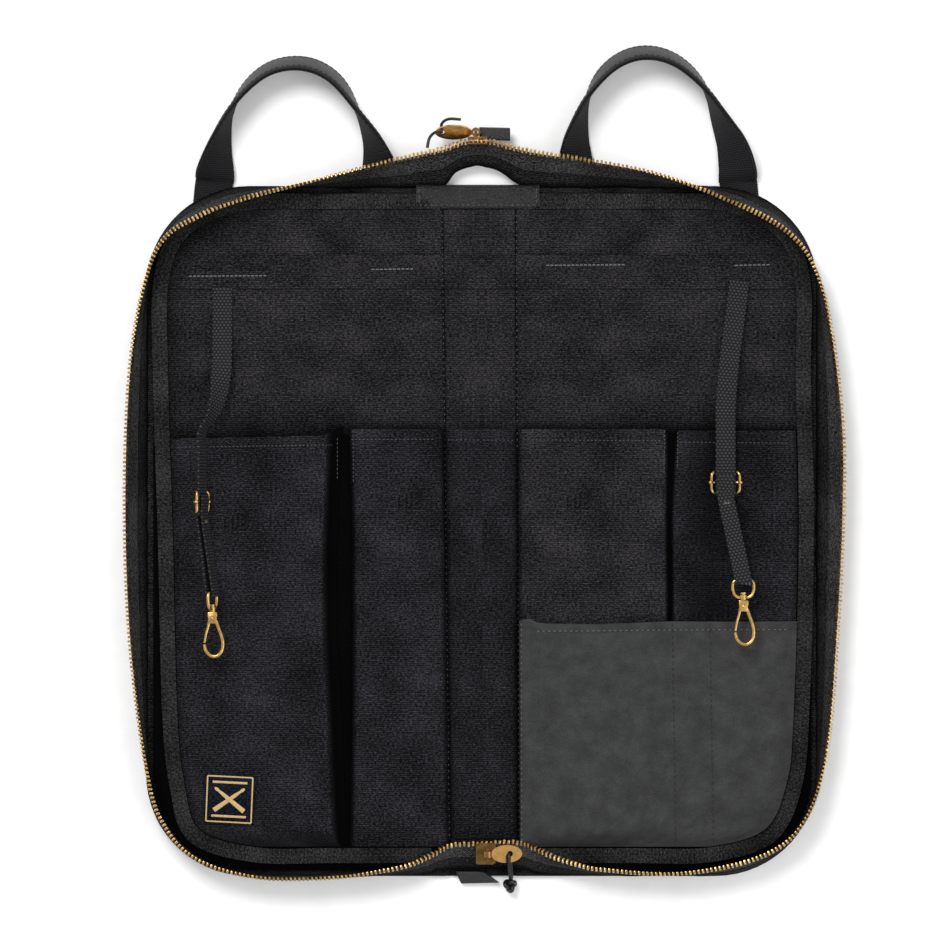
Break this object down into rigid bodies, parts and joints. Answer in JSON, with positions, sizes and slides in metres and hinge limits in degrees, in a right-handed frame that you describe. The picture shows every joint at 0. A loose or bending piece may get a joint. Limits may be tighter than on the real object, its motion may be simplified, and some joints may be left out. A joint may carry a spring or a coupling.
{
  "type": "drum stick bag",
  "caption": "Zipped black canvas bag for drum sticks, opened flat like a book, with stick pockets, a leather accessory pocket, clip straps and webbing handles.",
  "frame": {"origin": "middle of the spine's outer face, which lies on the floor when the bag is open on its back", "axes": "+X towards the right half, +Y towards the handles along the spine, +Z out of the floor towards the inside of the open bag"},
  "size_m": [0.4741, 0.5596, 0.032],
  "materials": {
    "canvas": "heavy black canvas",
    "lining": "ribbed black canvas",
    "foam": "foam padding, hidden",
    "binding": "dark green-grey binding tape",
    "webbing": "woven webbing",
    "zip_tape": "woven zip tape",
    "leather": "waxed black leather",
    "brass": "satin brass",
    "antique_brass": "dark antique brass",
    "patch": "woven badge with a gold border"
  },
  "bodies": {
    "spine": {"spine_outer": "canvas", "spine_lining": "lining", "spine_pocket": "lining", "spine_top_binding": "leather", "left_fold": "canvas", "right_fold": "canvas", "top_bridge_tape": "zip_tape", "top_bridge_chain": "brass", "bottom_bridge_tape": "zip_tape", "bottom_bridge_chain": "brass", "top_slider": "antique_brass", "bottom_slider": "antique_brass", "top_end_tab": "leather", "bottom_end_tab": "leather"},
    "left_half": {"left_outer_panel": "canvas", "left_padding": "foam", "left_lining": "lining", "left_binding": "binding", "left_gusset": "canvas", "left_zip_tape": "zip_tape", "left_zip_chain": "brass", "left_stick_pocket": "lining", "left_centre_pocket": "lining", "left_patch": "patch", "left_handle_leg_a": "webbing", "left_handle_leg_b": "webbing"},
    "right_half": {"right_outer_panel": "canvas", "right_padding": "foam", "right_lining": "lining", "right_binding": "binding", "right_gusset": "canvas", "right_zip_tape": "zip_tape", "right_zip_chain": "brass", "right_stick_pocket": "lining", "right_centre_pocket": "lining", "right_leather_pocket": "leather", "right_handle_leg_a": "webbing", "right_handle_leg_b": "webbing"},
    "left_handle": {"left_handle_web": "webbing", "left_handle_wrap": "leather"},
    "left_strap": {"left_strap_web": "webbing"},
    "left_slide": {"left_slide_buckle": "brass"},
    "left_loop": {"left_loop_web": "webbing"},
    "left_ring": {"left_ring_eye": "brass"},
    "left_hook": {"left_hook_body": "brass"},
    "left_gate": {"left_hook_gate": "brass"},
    "right_handle": {"right_handle_web": "webbing", "right_handle_wrap": "leather"},
    "right_strap": {"right_strap_web": "webbing"},
    "right_slide": {"right_slide_buckle": "brass"},
    "right_loop": {"right_loop_web": "webbing"},
    "right_ring": {"right_ring_eye": "brass"},
    "right_hook": {"right_hook_body": "brass"},
    "right_gate": {"right_hook_gate": "brass"},
    "top_pull": {"top_pull_tab": "antique_brass", "top_lace": "leather"},
    "bottom_pull": {"bottom_pull_tab": "antique_brass", "bottom_lace": "leather"}
  },
  "joints": [
    {"name": "left_half_fold", "type": "hinge", "parent": "spine", "child": "left_half", "pos_m": [-0.024, 0, 0.0031], "axis": [0, 1, 0], "range_deg": [0, 90], "deforming": ["left_fold", "top_bridge_tape", "top_bridge_chain", "bottom_bridge_tape", "bottom_bridge_chain"]},
    {"name": "right_half_fold", "type": "hinge", "parent": "spine", "child": "right_half", "pos_m": [0.024, 0, 0.0031], "axis": [0, -1, 0], "range_deg": [0, 90], "deforming": ["right_fold"]},
    {"name": "left_handle_swing", "type": "hinge", "parent": "left_half", "child": "left_handle", "pos_m": [-0.12, 0.2504, 0.00065], "axis": [-1, 0, 0], "range_deg": [-70, 0]},
    {"name": "left_strap_lift", "type": "hinge", "parent": "left_half", "child": "left_strap", "pos_m": [-0.1716, 0.1595, 0.0072], "axis": [1, 0, 0], "range_deg": [-120, 0]},
    {"name": "left_slide_adjust", "type": "slide", "parent": "left_strap", "child": "left_slide", "axis": [0, -1, 0], "range_m": [-0.025, 0], "deforming": ["left_loop_web"]},
    {"name": "left_loop_shift", "type": "slide", "parent": "left_strap", "child": "left_loop", "axis": [0, -1, 0], "range_m": [-0.0125, 0]},
    {"name": "left_ring_tilt", "type": "hinge", "parent": "left_loop", "child": "left_ring", "pos_m": [-0.1773, -0.0418, 0.0218], "axis": [0.342, 0, -0.9397], "range_deg": [-45, 0]},
    {"name": "left_hook_swivel", "type": "hinge", "parent": "left_ring", "child": "left_hook", "pos_m": [-0.1773, -0.0548, 0.0218], "axis": [0, 1, 0], "continuous": true},
    {"name": "left_gate_press", "type": "hinge", "parent": "left_hook", "child": "left_gate", "pos_m": [-0.1795, -0.0592, 0.0218], "axis": [0, 0, -1], "range_deg": [-20, 0], "stiffness_Nm_per_rad": 0.02, "springref_deg": 8.59},
    {"name": "right_handle_swing", "type": "hinge", "parent": "right_half", "child": "right_handle", "pos_m": [0.12, 0.2504, 0.00065], "axis": [-1, 0, 0], "range_deg": [-70, 0]},
    {"name": "right_strap_lift", "type": "hinge", "parent": "right_half", "child": "right_strap", "pos_m": [0.1703, 0.164, 0.0072], "axis": [1, 0, 0], "range_deg": [-120, 0]},
    {"name": "right_slide_adjust", "type": "slide", "parent": "right_strap", "child": "right_slide", "axis": [0, -1, 0], "range_m": [-0.025, 0], "deforming": ["right_loop_web"]},
    {"name": "right_loop_shift", "type": "slide", "parent": "right_strap", "child": "right_loop", "axis": [0, -1, 0], "range_m": [-0.0125, 0]},
    {"name": "right_ring_tilt", "type": "hinge", "parent": "right_loop", "child": "right_ring", "pos_m": [0.1718, -0.0339, 0.0218], "axis": [1, 0, 0], "range_deg": [-60, 0]},
    {"name": "right_hook_swivel", "type": "hinge", "parent": "right_ring", "child": "right_hook", "pos_m": [0.1718, -0.0469, 0.0218], "axis": [0, 1, 0], "continuous": true},
    {"name": "right_gate_press", "type": "hinge", "parent": "right_hook", "child": "right_gate", "pos_m": [0.1696, -0.0513, 0.0218], "axis": [0, 0, -1], "range_deg": [-20, 0], "stiffness_Nm_per_rad": 0.02, "springref_deg": 8.59},
    {"name": "top_pull_swing", "type": "hinge", "parent": "spine", "child": "top_pull", "pos_m": [-0.004, 0.2616, 0.015], "axis": [0, 0, 1], "range_deg": [-170, 0]},
    {"name": "bottom_pull_swing", "type": "hinge", "parent": "spine", "child": "bottom_pull", "pos_m": [0.0035, -0.2145, 0.0152], "axis": [0, 1, 0], "range_deg": [-130, 0]}
  ],
  "couplings": [
    {"joint": "left_loop_shift", "follows": "left_slide_adjust", "ratio": 0.5},
    {"joint": "right_loop_shift", "follows": "right_slide_adjust", "ratio": 0.5}
  ]
}
